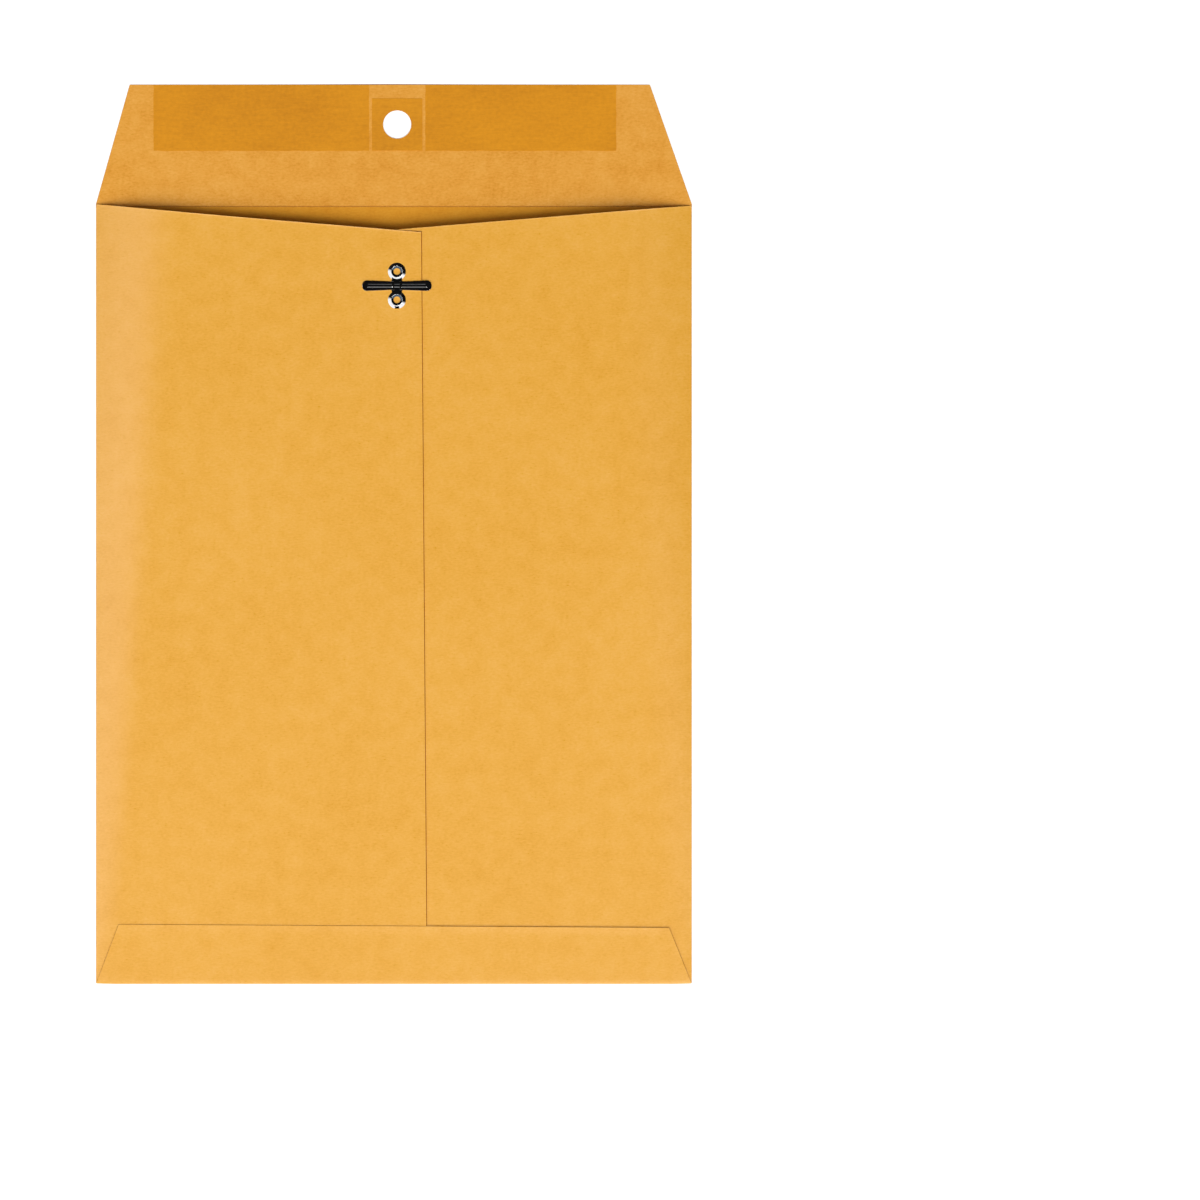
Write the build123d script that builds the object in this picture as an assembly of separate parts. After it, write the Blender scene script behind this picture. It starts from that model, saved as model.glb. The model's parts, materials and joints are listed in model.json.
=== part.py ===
from build123d import *
import math
import os

# Kraft clasp envelope, lying on its front panel with the seal flap open and the mouth gaping.
# Sizes are in millimetres. The origin is the centre of the front panel's outer face.
# +X is to the right, +Y runs towards the seal flap, and +Z points up through the back.

# Paper body
body_width = 253.0
body_height = 330.2
paper = 0.18
crease_gap = 0.05
side_roll_bottom = 10.0
side_roll_top = 36.0
mouth_gape = 6.0
pocket_slack = 0.1
mouth_corner_rise = 0.3
throat_depth = 9.9

# Centre seam, measured to the right of the centre line
seam_offset_top = 11.7
seam_offset_bottom = 14.0
seam_overlap = 32.0
seam_gum_margin = 5.0
seam_gap = 0.14

# Bottom flap
bottom_flap_left_height = 25.3
bottom_flap_right_height = 23.9
bottom_flap_inset = 9.6
bottom_gum_margin = 3.0
bottom_gum_gap = 0.05

# Seal flap
flap_height = 51.7
flap_left_inset = 14.3
flap_right_inset = 17.8
flap_corner_radius = 1.3
flap_fold_clearance = 0.63
hinge_rise = 0.8
hole_diameter = 11.95
hole_offset = 1.4
hole_above_fold = 34.8

# Gum strips and hole patch on the seal flap
flap_gum = 0.04
flap_gum_height = 28.1
flap_gum_edge = 0.2
flap_gum_left_margin = 24.4
flap_gum_right_margin = 32.1
patch = 0.12
patch_width = 21.4
patch_height = 22.2
patch_gap = 1.25

# Clasp
clasp_lag = 0.6
metal = 0.3
neck_width = 4.1
prong_lift = 0.05
prong_gap = 0.05
prong_side_gap = 0.15
prong_hinge_offset = 1.3
prong_length = 13.4
prong_root_width = 3.6
prong_tip_width = 4.6
prong_tip_radius = 2.0
bead_width = 1.25
bead_height = 0.06
bead_slope = 40.0
bead_root_margin = 1.0
bead_tip_margin = 1.5

# Eyelets drawn out of the clasp's base
eyelet_pitch = 12.0
rim_diameter = 7.6
rim_height = 0.75
crest_diameter = 4.8
crest_rounding = 0.3
eyelet_bore = 2.9
eyelet_wall = 0.25
eyelet_clearance = 0.05
clinch_diameter = 5.2
clinch_height = 0.1
clinch_clearance = 0.3

# Heights of the stack of sheets when the mouth is pressed flat
right_under = paper + pocket_slack
right_top = right_under + paper
left_under = right_top + seam_gap
left_top = left_under + paper
bottom_flap_under = left_top + bottom_gum_gap
bottom_flap_top = bottom_flap_under + paper
prong_under = left_top + prong_lift
prong_top = prong_under + metal

# Fold lines and hinges
bottom_y = -body_height / 2
fold_y = body_height / 2
side_x = body_width / 2
bottom_fold_radius = bottom_flap_top / 2
gape_y = bottom_y + bottom_fold_radius
gape_z = bottom_fold_radius
tilt = math.atan((mouth_gape - pocket_slack) / (fold_y - gape_y))
gape_angle = math.degrees(tilt)
gape_axis = Axis((0, gape_y, gape_z), (1, 0, 0))
hinge_y = fold_y + hinge_rise
flap_hinge_z = (left_top + flap_fold_clearance + paper) / 2
crease_half = math.pi * (flap_hinge_z - paper / 2) / 2

# Back panels
panel_bottom = gape_y + crease_gap
throat_slope = (throat_depth + mouth_corner_rise) / side_x

# Clasp and hole, nearly in line when the flap is folded over
hole_y = fold_y + hole_above_fold
clasp_y = 2 * hinge_y - hole_y - clasp_lag
eyelet_ys = (clasp_y + eyelet_pitch / 2, clasp_y - eyelet_pitch / 2)
barrel_radius = eyelet_bore / 2 + eyelet_wall


def sheet(outline, underside, thickness):
    """A flat sheet with a straight-sided outline, its lower face at the given height."""
    face = make_face(Polyline(*outline, close=True))
    return Pos(0, 0, underside) * extrude(face, thickness, dir=(0, 0, 1))


def slab(x_range, y_range, z_range):
    """A rectangular block between the given limits."""
    spans = (x_range, y_range, z_range)
    middle = [(low + high) / 2 for low, high in spans]
    size = [high - low for low, high in spans]
    return Pos(*middle) * Box(*size)


def gaping(shape):
    """Lift a piece of the flat back about the bottom fold, to the gape at rest."""
    return shape.rotate(gape_axis, gape_angle)


def lifted(y, z):
    """Where a point of the flat back comes to at rest, seen along the bottom fold."""
    along = y - gape_y
    above = z - gape_z
    lifted_y = gape_y + along * math.cos(tilt) - above * math.sin(tilt)
    lifted_z = gape_z + along * math.sin(tilt) + above * math.cos(tilt)
    return lifted_y, lifted_z


def mouth_y(distance):
    """Height of a back panel's mouth edge, at a distance inwards from the envelope's side."""
    return fold_y + mouth_corner_rise - throat_slope * distance


def seam_x(y):
    """The centre seam, which leans a little to the right towards the bottom."""
    share = (y - panel_bottom) / (fold_y - panel_bottom)
    return seam_offset_bottom + (seam_offset_top - seam_offset_bottom) * share


def eyelet_holes(radius, low, high):
    """Two round cutters on the eyelets' axes."""
    cutter = Cylinder(radius, high - low, align=(Align.CENTER, Align.CENTER, Align.MIN))
    return [Pos(hole_offset, y, low) * cutter for y in eyelet_ys]


def front_panel():
    y_range = (panel_bottom, hinge_y - crease_half)
    return slab((-side_x, side_x), y_range, (0, paper))


def flap_crease():
    """The strip that bends round the hinge line, just above the fold line and the mouth's corners."""
    y_range = (hinge_y - crease_half, hinge_y + crease_half)
    return slab((-side_x, side_x), y_range, (0, paper))


def side_fold(underside):
    """The right-hand rolled edge, from the side crease up to a back panel of that flat height."""

    def section(side_y, width, panel_y):
        """One end of the roll: it leaves the crease steeply and meets the panel level with it."""
        end_y, low = lifted(panel_y, underside)
        high = lifted(panel_y, underside + paper)[1]
        middle_y = (side_y + end_y) / 2
        middle_x = side_x - width / 2
        end_x = side_x - width
        inner = Bezier((side_x, side_y, paper), (middle_x, middle_y, low), (end_x, end_y, low))
        outer = Bezier((side_x, side_y, 2 * paper), (middle_x, middle_y, high), (end_x, end_y, high))
        ends = [Line(inner @ 0, outer @ 0), Line(inner @ 1, outer @ 1)]
        return make_face([inner, outer, *ends])

    lower_end = section(panel_bottom, side_roll_bottom, panel_bottom)
    mouth_end = section(mouth_y(0), side_roll_top, mouth_y(side_roll_top))
    return loft([lower_end, mouth_end], ruled=True)


def back_panel(side, free_top, free_bottom, underside):
    """One back panel: side is -1 for the left and 1 for the right, free edge towards the middle."""
    roll_top = side_roll_top + crease_gap
    roll_bottom = side_roll_bottom + crease_gap
    outline = [
        (side * (side_x - roll_bottom), panel_bottom),
        (free_bottom, panel_bottom),
        (free_top, mouth_y(side_x - side * free_top)),
        (side * (side_x - roll_top), mouth_y(roll_top)),
    ]
    return sheet(outline, underside, paper)


def left_back_panel():
    """The outer panel, which carries the clasp."""
    panel = back_panel(-1, seam_offset_top, seam_offset_bottom, left_under)
    return panel - eyelet_holes(barrel_radius + eyelet_clearance, left_under, left_top)


def right_back_panel():
    """The inner panel, which runs on behind the clasp and covers its clinched ends."""
    hidden_top = seam_offset_top - seam_overlap
    hidden_bottom = seam_offset_bottom - seam_overlap
    return back_panel(1, hidden_top, hidden_bottom, right_under)


def seam_gum():
    """Gum between the two back panels, held back from their edges and from the clinched eyelets."""
    near = panel_bottom + seam_gum_margin
    far = mouth_y(side_x + max(seam_offset_top, seam_overlap - seam_offset_top)) - seam_gum_margin
    outline = [
        (seam_x(near) - seam_overlap + seam_gum_margin, near),
        (seam_x(near) - seam_gum_margin, near),
        (seam_x(far) - seam_gum_margin, far),
        (seam_x(far) - seam_overlap + seam_gum_margin, far),
    ]
    holes = eyelet_holes(clinch_diameter / 2 + clinch_clearance, right_top, left_under)
    return sheet(outline, right_top, seam_gap) - holes


def bottom_fold():
    """The half-round crease that carries the bottom flap round from the front panel."""
    radius = bottom_fold_radius
    inner_radius = radius - paper
    outer = ThreePointArc((gape_y, 0), (bottom_y, radius), (gape_y, 2 * radius))
    inner = ThreePointArc((gape_y, paper), (gape_y - inner_radius, radius), (gape_y, 2 * radius - paper))
    ends = [Line(outer @ 0, inner @ 0), Line(outer @ 1, inner @ 1)]
    face = Plane.YZ.offset(-side_x) * make_face([outer, inner, *ends])
    return extrude(face, body_width, dir=(1, 0, 0))


def bottom_flap():
    left_root = side_x - bottom_flap_inset * bottom_fold_radius / bottom_flap_left_height
    right_root = side_x - bottom_flap_inset * bottom_fold_radius / bottom_flap_right_height
    outline = [
        (-left_root, gape_y),
        (right_root, gape_y),
        (side_x - bottom_flap_inset, bottom_y + bottom_flap_right_height),
        (-side_x + bottom_flap_inset, bottom_y + bottom_flap_left_height),
    ]
    return sheet(outline, bottom_flap_under, paper)


def bottom_gum():
    """Two stretches of gum under the bottom flap, one on each back panel."""
    reach = side_x - bottom_flap_inset - bottom_gum_margin
    lower_height = min(bottom_flap_left_height, bottom_flap_right_height)
    y_range = (panel_bottom + bottom_gum_margin, bottom_y + lower_height - bottom_gum_margin)
    seam = seam_x(panel_bottom)
    left = slab((-reach, seam - bottom_gum_margin), y_range, (left_top, bottom_flap_under))
    right = slab((seam + bottom_gum_margin, reach), y_range, (right_top, bottom_flap_under))
    return Compound([left.solid(), right.solid()])


def drawn_eyelet(y):
    """A cone on the paper with a funnel in it, and a tube through the outer panel, clinched behind it."""
    bore_radius = eyelet_bore / 2
    inside = left_under - left_top
    flange_low = inside - clinch_height
    outline = [
        (rim_diameter / 2, 0),
        (crest_diameter / 2, rim_height),
        (bore_radius, 0),
        (bore_radius, flange_low),
        (clinch_diameter / 2, flange_low),
        (clinch_diameter / 2, inside),
        (barrel_radius, inside),
        (barrel_radius, 0),
    ]
    face = make_face(Polyline(*outline, close=True))
    face = fillet(face.vertices().sort_by(Axis.Y)[-1:], crest_rounding)
    return Pos(hole_offset, y, left_top) * revolve(Plane.XZ * face, Axis.Z)


def clasp_base():
    """The fixed part of the stamping: the middle of the bar, two necks and two drawn eyelets."""
    middle_half = prong_hinge_offset - metal / 2 - prong_gap
    middle_x = (hole_offset - middle_half, hole_offset + middle_half)
    neck_x = (hole_offset - neck_width / 2, hole_offset + neck_width / 2)
    height = (left_top, prong_top)
    reach = eyelet_pitch / 2 - (rim_diameter + crest_diameter) / 4
    neck_root = prong_root_width / 2 + prong_side_gap
    base = slab(middle_x, (clasp_y - reach, clasp_y + reach), height)
    base += slab(neck_x, (clasp_y + neck_root, clasp_y + reach), height)
    base += slab(neck_x, (clasp_y - reach, clasp_y - neck_root), height)
    for y in eyelet_ys:
        base += drawn_eyelet(y)
    return base


def right_prong():
    """A flat tongue with a round tip, a raised bead along it and a rounded root on its bend line."""
    outline = [
        (0, prong_root_width / 2),
        (0, -prong_root_width / 2),
        (prong_length, -prong_tip_width / 2),
        (prong_length, prong_tip_width / 2),
    ]
    face = make_face(Polyline(*outline, close=True))
    face = fillet(face.vertices().sort_by(Axis.X)[-2:], prong_tip_radius)
    blade = extrude(face, metal, dir=(0, 0, 1))
    root = Pos(0, 0, metal / 2) * Rot(90, 0, 0) * Cylinder(metal / 2, prong_root_width)
    bead_length = prong_length - bead_root_margin - bead_tip_margin
    bead_x = bead_root_margin + bead_length / 2
    bead = extrude(SlotOverall(bead_length, bead_width), bead_height, taper=bead_slope)
    prong = blade + root + Pos(bead_x, 0, metal) * bead
    return Pos(hole_offset + prong_hinge_offset, clasp_y, prong_under) * prong


def left_prong():
    return mirror(right_prong(), about=Plane.YZ.offset(hole_offset))


def seal_flap():
    root_y = hinge_y + crease_half + crease_gap
    top_y = fold_y + flap_height
    outline = [
        (-side_x, root_y),
        (side_x, root_y),
        (side_x - flap_right_inset, top_y),
        (-side_x + flap_left_inset, top_y),
    ]
    face = make_face(Polyline(*outline, close=True))
    face = fillet(face.vertices().sort_by(Axis.Y)[-2:], flap_corner_radius)
    hole = Pos(hole_offset, hole_y) * Circle(hole_diameter / 2)
    return extrude(face - hole, paper, dir=(0, 0, 1))


def flap_gum_strip(near_edge, far_edge):
    top_y = fold_y + flap_height
    y_range = (top_y - flap_gum_height, top_y - flap_gum_edge)
    return slab((near_edge, far_edge), y_range, (paper, paper + flap_gum))


def left_gum_strip():
    return flap_gum_strip(-side_x + flap_gum_left_margin, hole_offset - patch_width / 2 - patch_gap)


def right_gum_strip():
    return flap_gum_strip(hole_offset + patch_width / 2 + patch_gap, side_x - flap_gum_right_margin)


def hole_patch():
    square = Rectangle(patch_width, patch_height) - Circle(hole_diameter / 2)
    return Pos(hole_offset, hole_y, paper) * extrude(square, patch, dir=(0, 0, 1))


pieces = {
    "front_panel": front_panel(),
    "flap_crease": flap_crease(),
    "right_side_fold": side_fold(right_under),
    "left_side_fold": mirror(side_fold(left_under), about=Plane.YZ),
    "left_back_panel": gaping(left_back_panel()),
    "right_back_panel": gaping(right_back_panel()),
    "seam_gum": gaping(seam_gum()),
    "bottom_fold": gaping(bottom_fold()),
    "bottom_flap": gaping(bottom_flap()),
    "bottom_gum": gaping(bottom_gum()),
    "clasp_base": gaping(clasp_base()),
    "left_prong": gaping(left_prong()),
    "right_prong": gaping(right_prong()),
    "seal_flap": seal_flap(),
    "left_gum_strip": left_gum_strip(),
    "right_gum_strip": right_gum_strip(),
    "hole_patch": hole_patch(),
}

os.makedirs("parts", exist_ok=True)
for name, shape in pieces.items():
    export_step(shape, f"parts/{name}.step")
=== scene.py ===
import json
import math

import bmesh
import bpy
from mathutils import Matrix, Vector


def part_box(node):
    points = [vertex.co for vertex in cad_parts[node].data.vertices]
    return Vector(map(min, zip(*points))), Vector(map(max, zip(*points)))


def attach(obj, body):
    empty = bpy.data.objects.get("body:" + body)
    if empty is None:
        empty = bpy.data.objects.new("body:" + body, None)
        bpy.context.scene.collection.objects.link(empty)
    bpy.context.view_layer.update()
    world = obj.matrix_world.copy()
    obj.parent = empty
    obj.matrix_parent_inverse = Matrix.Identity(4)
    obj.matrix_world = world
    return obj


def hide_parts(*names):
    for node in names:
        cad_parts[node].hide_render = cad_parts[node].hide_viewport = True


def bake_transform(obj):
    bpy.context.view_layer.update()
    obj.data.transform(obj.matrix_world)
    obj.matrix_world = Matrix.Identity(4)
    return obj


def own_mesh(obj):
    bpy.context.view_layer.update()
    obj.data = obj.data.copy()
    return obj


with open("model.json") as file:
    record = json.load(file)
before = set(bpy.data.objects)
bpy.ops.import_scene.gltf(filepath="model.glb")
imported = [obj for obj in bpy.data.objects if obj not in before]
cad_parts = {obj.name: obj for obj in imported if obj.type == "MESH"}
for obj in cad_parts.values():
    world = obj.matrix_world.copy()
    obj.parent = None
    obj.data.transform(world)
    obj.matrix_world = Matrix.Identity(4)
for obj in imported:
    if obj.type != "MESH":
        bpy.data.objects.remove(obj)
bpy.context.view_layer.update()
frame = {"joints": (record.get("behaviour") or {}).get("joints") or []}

# The looks of a kraft clasp envelope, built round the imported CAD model. Lengths are in metres.
# The sheets are thin closed meshes, and the back flattens as the seal flap closes.
MM = 0.001

# Hinges and fold lines, from the frame
joints = {joint["name"]: joint for joint in frame["joints"]}
flap_hinge = Vector(joints["flap_fold"]["pos_m"])
gape_hinge = Vector(joints["mouth_gape"]["pos_m"])
tilt = math.radians(-joints["mouth_gape"]["range_deg"][0])
hinge_rise = 0.8 * MM
fold_y = flap_hinge.y - hinge_rise
crease_low, crease_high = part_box("flap_crease")
front_low, front_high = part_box("front_panel")
paper = front_high.z - front_low.z
side_x = front_high.x
bottom_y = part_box("bottom_fold")[0].y

# Edges sharper than these angles, in degrees, aren't shaded smooth
paper_crease = 35.0
metal_crease = 15.0

# Cut edges of the paper slope outwards a little and show bare fibres, in a dark colour that also paints
# the thin shade line along each edge.
# A face is a cut one if its normal rises less than cut_face.
edge_slope = 0.24 * MM
cut_face = 0.85

# Back panels, as they lie when the mouth is pressed flat
right_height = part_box("right_back_panel")[0].z + paper / 2
left_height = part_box("left_back_panel")[0].z + paper / 2
bottom_flap_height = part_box("bottom_flap")[0].z + paper / 2
side_height = 1.5 * paper
roll_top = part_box("left_side_fold")[1].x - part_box("left_side_fold")[0].x
roll_bottom = 10.0 * MM
panel_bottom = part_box("left_back_panel")[0].y
mouth_corner_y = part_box("left_side_fold")[1].y
throat_depth = 10.15 * MM
corner_peak = 0.65 * MM
corner_peak_width = 70.0 * MM
throat_slope = (throat_depth - (fold_y - mouth_corner_y)) / side_x
seam_top = 11.7 * MM
seam_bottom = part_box("left_back_panel")[1].x
seam_overlap = seam_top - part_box("right_back_panel")[0].x

# Free edges of the back: the seam's edge curls up, apart from where the clasp holds it down,
# and the mouth has a fine raised lip. The two mouth edges cross in the middle.
seam_lift = 0.16 * MM
seam_lift_width = 5.0 * MM
clasp_hold = 6.0 * MM
clasp_release = 12.0 * MM
mouth_lip = 0.7 * MM
mouth_lip_lift = 0.1 * MM
right_lip_share = 0.6
crossing_width = 4.0 * MM

# Bottom flap
bottom_left_height = 25.3 * MM
bottom_right_height = 23.9 * MM
bottom_inset = 9.6 * MM
bottom_edge_lift = 0.12 * MM
bottom_edge_width = 3.0 * MM
bottom_edge_slope = 0.08 * MM
bottom_curl_start = 0.25
bottom_gum_margin = 3.0 * MM

# Seal flap, its gum and its patch
flap_root_rise = 1.0 * MM
flap_root = fold_y + flap_root_rise
flap_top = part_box("seal_flap")[1].y
flap_left_inset = 14.3 * MM
flap_right_inset = 17.8 * MM
flap_corner = 0.35 * MM
flap_side_slope = 0.04 * MM
patch_low, patch_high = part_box("hole_patch")
hole_x = (patch_low.x + patch_high.x) / 2
hole_y = (patch_low.y + patch_high.y) / 2
hole_radius = 5.975 * MM
groove_depth = 0.06 * MM
groove_width = 0.27 * MM
gum_waver = 0.12 * MM

# Clasp
prong_pivot = Vector(joints["right_prong_fold"]["pos_m"])
prong_root = abs(prong_pivot.x - hole_x)
prong_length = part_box("right_prong")[1].x - prong_pivot.x
metal = 0.3 * MM
prong_lift = 0.05 * MM
bead_half = 0.625 * MM
bead_height = 0.047 * MM
bead_ramp = 0.075 * MM
bead_fade = 1.0 * MM
bead_root = 0.2 * MM
bead_root_fade = 0.6 * MM
bead_tip_margin = 1.5 * MM
prong_root_width = 3.6 * MM
prong_root_radius = 0.19 * MM
prong_tip_width = 4.6 * MM
prong_tip_radius = 2.0 * MM
prong_edge = 0.09 * MM
neck_width = 4.3 * MM
neck_root_width = 4.7 * MM
neck_start = 1.84 * MM
neck_waist = 2.5 * MM
neck_end = 3.5 * MM
middle_half = 1.14 * MM
rim_radius = 3.8 * MM
rim_height = 0.75 * MM
crest_radius = 2.4 * MM
crest_rounding = 0.1 * MM
bore_radius = 1.45 * MM
barrel_radius = 1.7 * MM
barrel_clearance = 0.05 * MM
clinch_radius = 2.6 * MM
clinch_height = 0.1 * MM
clinch_clearance = 0.3 * MM
eyelet_pitch = 12.0 * MM
tab_half_width = 0.95 * MM
tab_start = 2.65 * MM

# How far apart the rows and columns of the meshes stand, about, and how many steps a turn has
flat_step = 8.0 * MM
sheet_step = 4.0 * MM
hidden_step = 6.0 * MM
roll_step = 1.2 * MM
roll_margin = 4.0 * MM
panel_step = 5.0 * MM
panel_row_step = 3.0 * MM
free_edge_step = 0.8 * MM
bottom_row_step = 1.5 * MM
crease_step = 0.18 * MM
flap_row_step = 2.5 * MM
film_step = 2.0 * MM
patch_step = 1.5 * MM
bead_step = 0.5 * MM
prong_bend_step = 0.03 * MM
prong_step = 0.3 * MM
prong_tip_step = 0.1 * MM
prong_edge_step = 0.02 * MM
side_crease_steps = 8
bottom_fold_steps = 10
crest_steps = 10
hole_segments = 96
eyelet_segments = 128

# Places along a rounded edge, as shares of its radius
round_shares = (0.3, 0.55, 0.75, 0.9, 1.0)


def lerp(start, end, share):
    return start + (end - start) * share


def smooth(value):
    """A soft step from 0 to 1."""
    held = min(1.0, max(0.0, value))
    return held * held * (3 - 2 * held)


def spaced(low, high, step):
    """Even steps from low to high, about a step apart."""
    count = max(1, round(abs(high - low) / step))
    return [lerp(low, high, index / count) for index in range(count + 1)]


def level(y, height):
    """Where a layer of the flat back comes to at rest, gaping about the bottom fold."""
    return gape_hinge.z + (height - gape_hinge.z) / math.cos(tilt) + (y - gape_hinge.y) * math.tan(tilt)


def roll_share(x, y):
    """How far the back has risen, from the side creases inwards."""
    width = lerp(roll_bottom, roll_top, (y - panel_bottom) / (mouth_corner_y - panel_bottom))
    inwards = min(1.0, (side_x - abs(x)) / width)
    return 1 - (1 - inwards) ** 2


def back_z(x, y, height, edge_height):
    """Middle of a back layer, which starts at the edge height on the side creases."""
    return lerp(edge_height, level(y, height), roll_share(x, y))


def mouth_y(side, distance):
    """The mouth edge of a back panel, at a distance inwards from the envelope's side.

    The left corner peaks.
    """
    peak = corner_peak * max(0.0, 1 - distance / corner_peak_width) ** 2
    return mouth_corner_y - throat_slope * distance + (peak if side < 0 else 0.0)


def seam_x(share):
    """The centre seam, at a share of the way from the bottom to the mouth."""
    return lerp(seam_bottom, seam_top, share)


def lifted_matrix():
    """From the flat back to the back at rest."""
    to_hinge = Matrix.Translation(gape_hinge)
    return to_hinge @ Matrix.Rotation(tilt, 4, "X") @ to_hinge.inverted()


def flat_point(point):
    """The flat place of a point on the back at rest."""
    return lifted_matrix().inverted() @ Vector(point)


def make_object(name, mesh):
    piece = bpy.data.objects.new(name, mesh)
    bpy.context.scene.collection.objects.link(piece)
    return piece


def shade(piece, angle):
    """Smooth shading, with creases past an angle in degrees kept sharp."""
    piece.data.shade_smooth()
    piece.data.set_sharp_from_angle(angle=math.radians(angle))


def add_sheet_map(mesh):
    """A map of the sheet in units of 100 mm, so that the paper's fibres stay put when it bends."""
    unit = 100 * MM
    layer = mesh.uv_layers.new(name="sheet")
    for loop in mesh.loops:
        place = mesh.vertices[loop.vertex_index].co
        layer.data[loop.index].uv = (place.x / unit, place.y / unit)


def slope_cut_sides(rows, cut):
    """Move the lower points of the cut sides outwards by their slopes, in the plane of the sheet."""
    sides = {
        "high": (rows[-1], rows[-2]),
        "start": ([row[0] for row in rows], [row[1] for row in rows]),
        "end": ([row[-1] for row in rows], [row[-2] for row in rows]),
    }
    for side, slope in cut:
        for pair, neighbour in zip(*sides[side]):
            outwards = pair[0] - neighbour[0]
            outwards.z = 0
            pair[1] += outwards.normalized() * slope


def shell(name, rows, cut=()):
    """A closed sheet from rows of (upper, lower) point pairs. Rows run along +Y and points along +X.

    cut lists the sides that are cut, each with its slope.
    """
    rows = [[[Vector(upper), Vector(lower)] for upper, lower in row] for row in rows]
    slope_cut_sides(rows, cut)
    count = len(rows[0])
    upper = [pair[0] for row in rows for pair in row]
    lower = [pair[1] for row in rows for pair in row]
    below = len(upper)
    faces = []
    for i in range(len(rows) - 1):
        for j in range(count - 1):
            a = i * count + j
            quad = (a, a + 1, a + 1 + count, a + count)
            faces.append(quad)
            faces.append(tuple(below + k for k in reversed(quad)))
    last = (len(rows) - 1) * count
    rim = list(range(count))
    rim += [i * count + count - 1 for i in range(1, len(rows))]
    rim += [last + j for j in range(count - 2, -1, -1)]
    rim += [i * count for i in range(len(rows) - 2, 0, -1)]
    for a, b in zip(rim, rim[1:] + rim[:1]):
        faces.append((b, a, below + a, below + b))
    mesh = bpy.data.meshes.new(name)
    mesh.from_pydata(upper + lower, [], faces)
    mesh.update()
    add_sheet_map(mesh)
    return make_object(name, mesh)


def flat_pair(x, y, middle, thickness):
    """The upper and the lower point of a level sheet at one place."""
    return (x, y, middle + thickness / 2), (x, y, middle - thickness / 2)


def finished(piece):
    """The piece's mesh with its modifiers applied."""
    bpy.context.view_layer.update()
    shown = piece.evaluated_get(bpy.context.evaluated_depsgraph_get())
    mesh = bpy.data.meshes.new_from_object(shown)
    piece.modifiers.clear()
    piece.data = mesh


def combine(piece, other, operation):
    """Cut another closed mesh out of the piece, or join it on."""
    change = piece.modifiers.new("combine", "BOOLEAN")
    change.operation = operation
    change.solver = "EXACT"
    change.object = other
    finished(piece)
    bpy.data.objects.remove(other)


def punch(piece, x, y, radius):
    """A round hole straight through a sheet."""
    low, high = -10 * MM, 20 * MM
    form = bmesh.new()
    bmesh.ops.create_cone(
        form,
        cap_ends=True,
        segments=hole_segments,
        radius1=radius,
        radius2=radius,
        depth=high - low,
    )
    bmesh.ops.translate(form, verts=form.verts, vec=(x, y, (low + high) / 2))
    mesh = bpy.data.meshes.new("punch")
    form.to_mesh(mesh)
    form.free()
    combine(piece, make_object("punch", mesh), "DIFFERENCE")


def face_outwards(mesh):
    form = bmesh.new()
    form.from_mesh(mesh)
    bmesh.ops.recalc_face_normals(form, faces=form.faces)
    form.to_mesh(mesh)
    form.free()
    mesh.update()


# Front panel and its side creases
def front_sheet():
    xs = spaced(-side_x + paper, side_x - paper, flat_step)
    ys = spaced(gape_hinge.y, crease_low.y, flat_step)
    rows = [[flat_pair(x, y, paper / 2, paper) for x in xs] for y in ys]
    return shell("front_sheet", rows)


def side_crease(name, side):
    """The half-round fold that joins the front panel to a back panel."""
    core = 0.01 * MM
    rows = []
    for y in spaced(gape_hinge.y, crease_low.y, flat_step):
        row = []
        for step in range(side_crease_steps + 1):
            turn = side * math.pi * (step / side_crease_steps - 0.5)
            across, up = side * math.cos(turn), side * math.sin(turn)
            centre = side * (side_x - paper)
            row.append([(centre + radius * across, y, paper + radius * up) for radius in (paper, core)])
        rows.append(row)
    piece = shell(name, rows)
    face_outwards(piece.data)
    return piece


# Back panels
def side_columns(width):
    """Shares of a panel's width, close together over the rolled side and at the free edge."""
    roll_end = roll_top + roll_margin
    edge_start = width - seam_lift_width
    places = spaced(0, roll_end, roll_step)
    places += spaced(roll_end, edge_start, panel_step)[1:]
    places += spaced(edge_start, width, free_edge_step)[1:]
    return [place / width for place in places]


def clear_of_clasp(y):
    """0 under the clasp and 1 well away from it."""
    return smooth((abs(y - prong_pivot.y) - clasp_hold) / clasp_release)


def past_crossing(x):
    """0 to the left of where the mouth edges cross, 1 where the left panel lies on the right."""
    return smooth(x / crossing_width)


def back_sheet(name, side, free_offset, height, lift, cut=()):
    """One back panel with its rolled side, from the side crease to its free edge."""
    start = side * (side_x - paper)
    shares = side_columns(abs(seam_top + free_offset - start))
    body_height = fold_y - bottom_y
    lip_share = mouth_lip / body_height
    rows = []
    for along in spaced(0, 1 - lip_share, panel_row_step / body_height) + [1 - lip_share / 2, 1.0]:
        free = seam_x(along) + free_offset
        row = []
        for share in shares:
            x = lerp(start, free, share)
            y = lerp(panel_bottom, mouth_y(side, side_x - side * x), along)
            curl = lift * smooth(1 - abs(x - free) / seam_lift_width) * clear_of_clasp(y)
            lip = max(0.0, 1 - (1 - along) / lip_share) ** 2
            curl += mouth_lip_lift * lip * (1.0 if side < 0 else right_lip_share * past_crossing(x))
            upper, lower = flat_pair(x, y, back_z(x, y, height, side_height) + curl, paper)
            if side < 0 and along == 1.0:
                lower = (x, y + edge_slope * past_crossing(x), lower[2])
            row.append([upper, lower])
        rows.append(row if side < 0 else row[::-1])
    return shell(name, rows, cut)


def flatten(piece):
    """The piece rides on the back, on a mesh of its own."""
    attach(piece, "back")
    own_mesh(piece)


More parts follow.
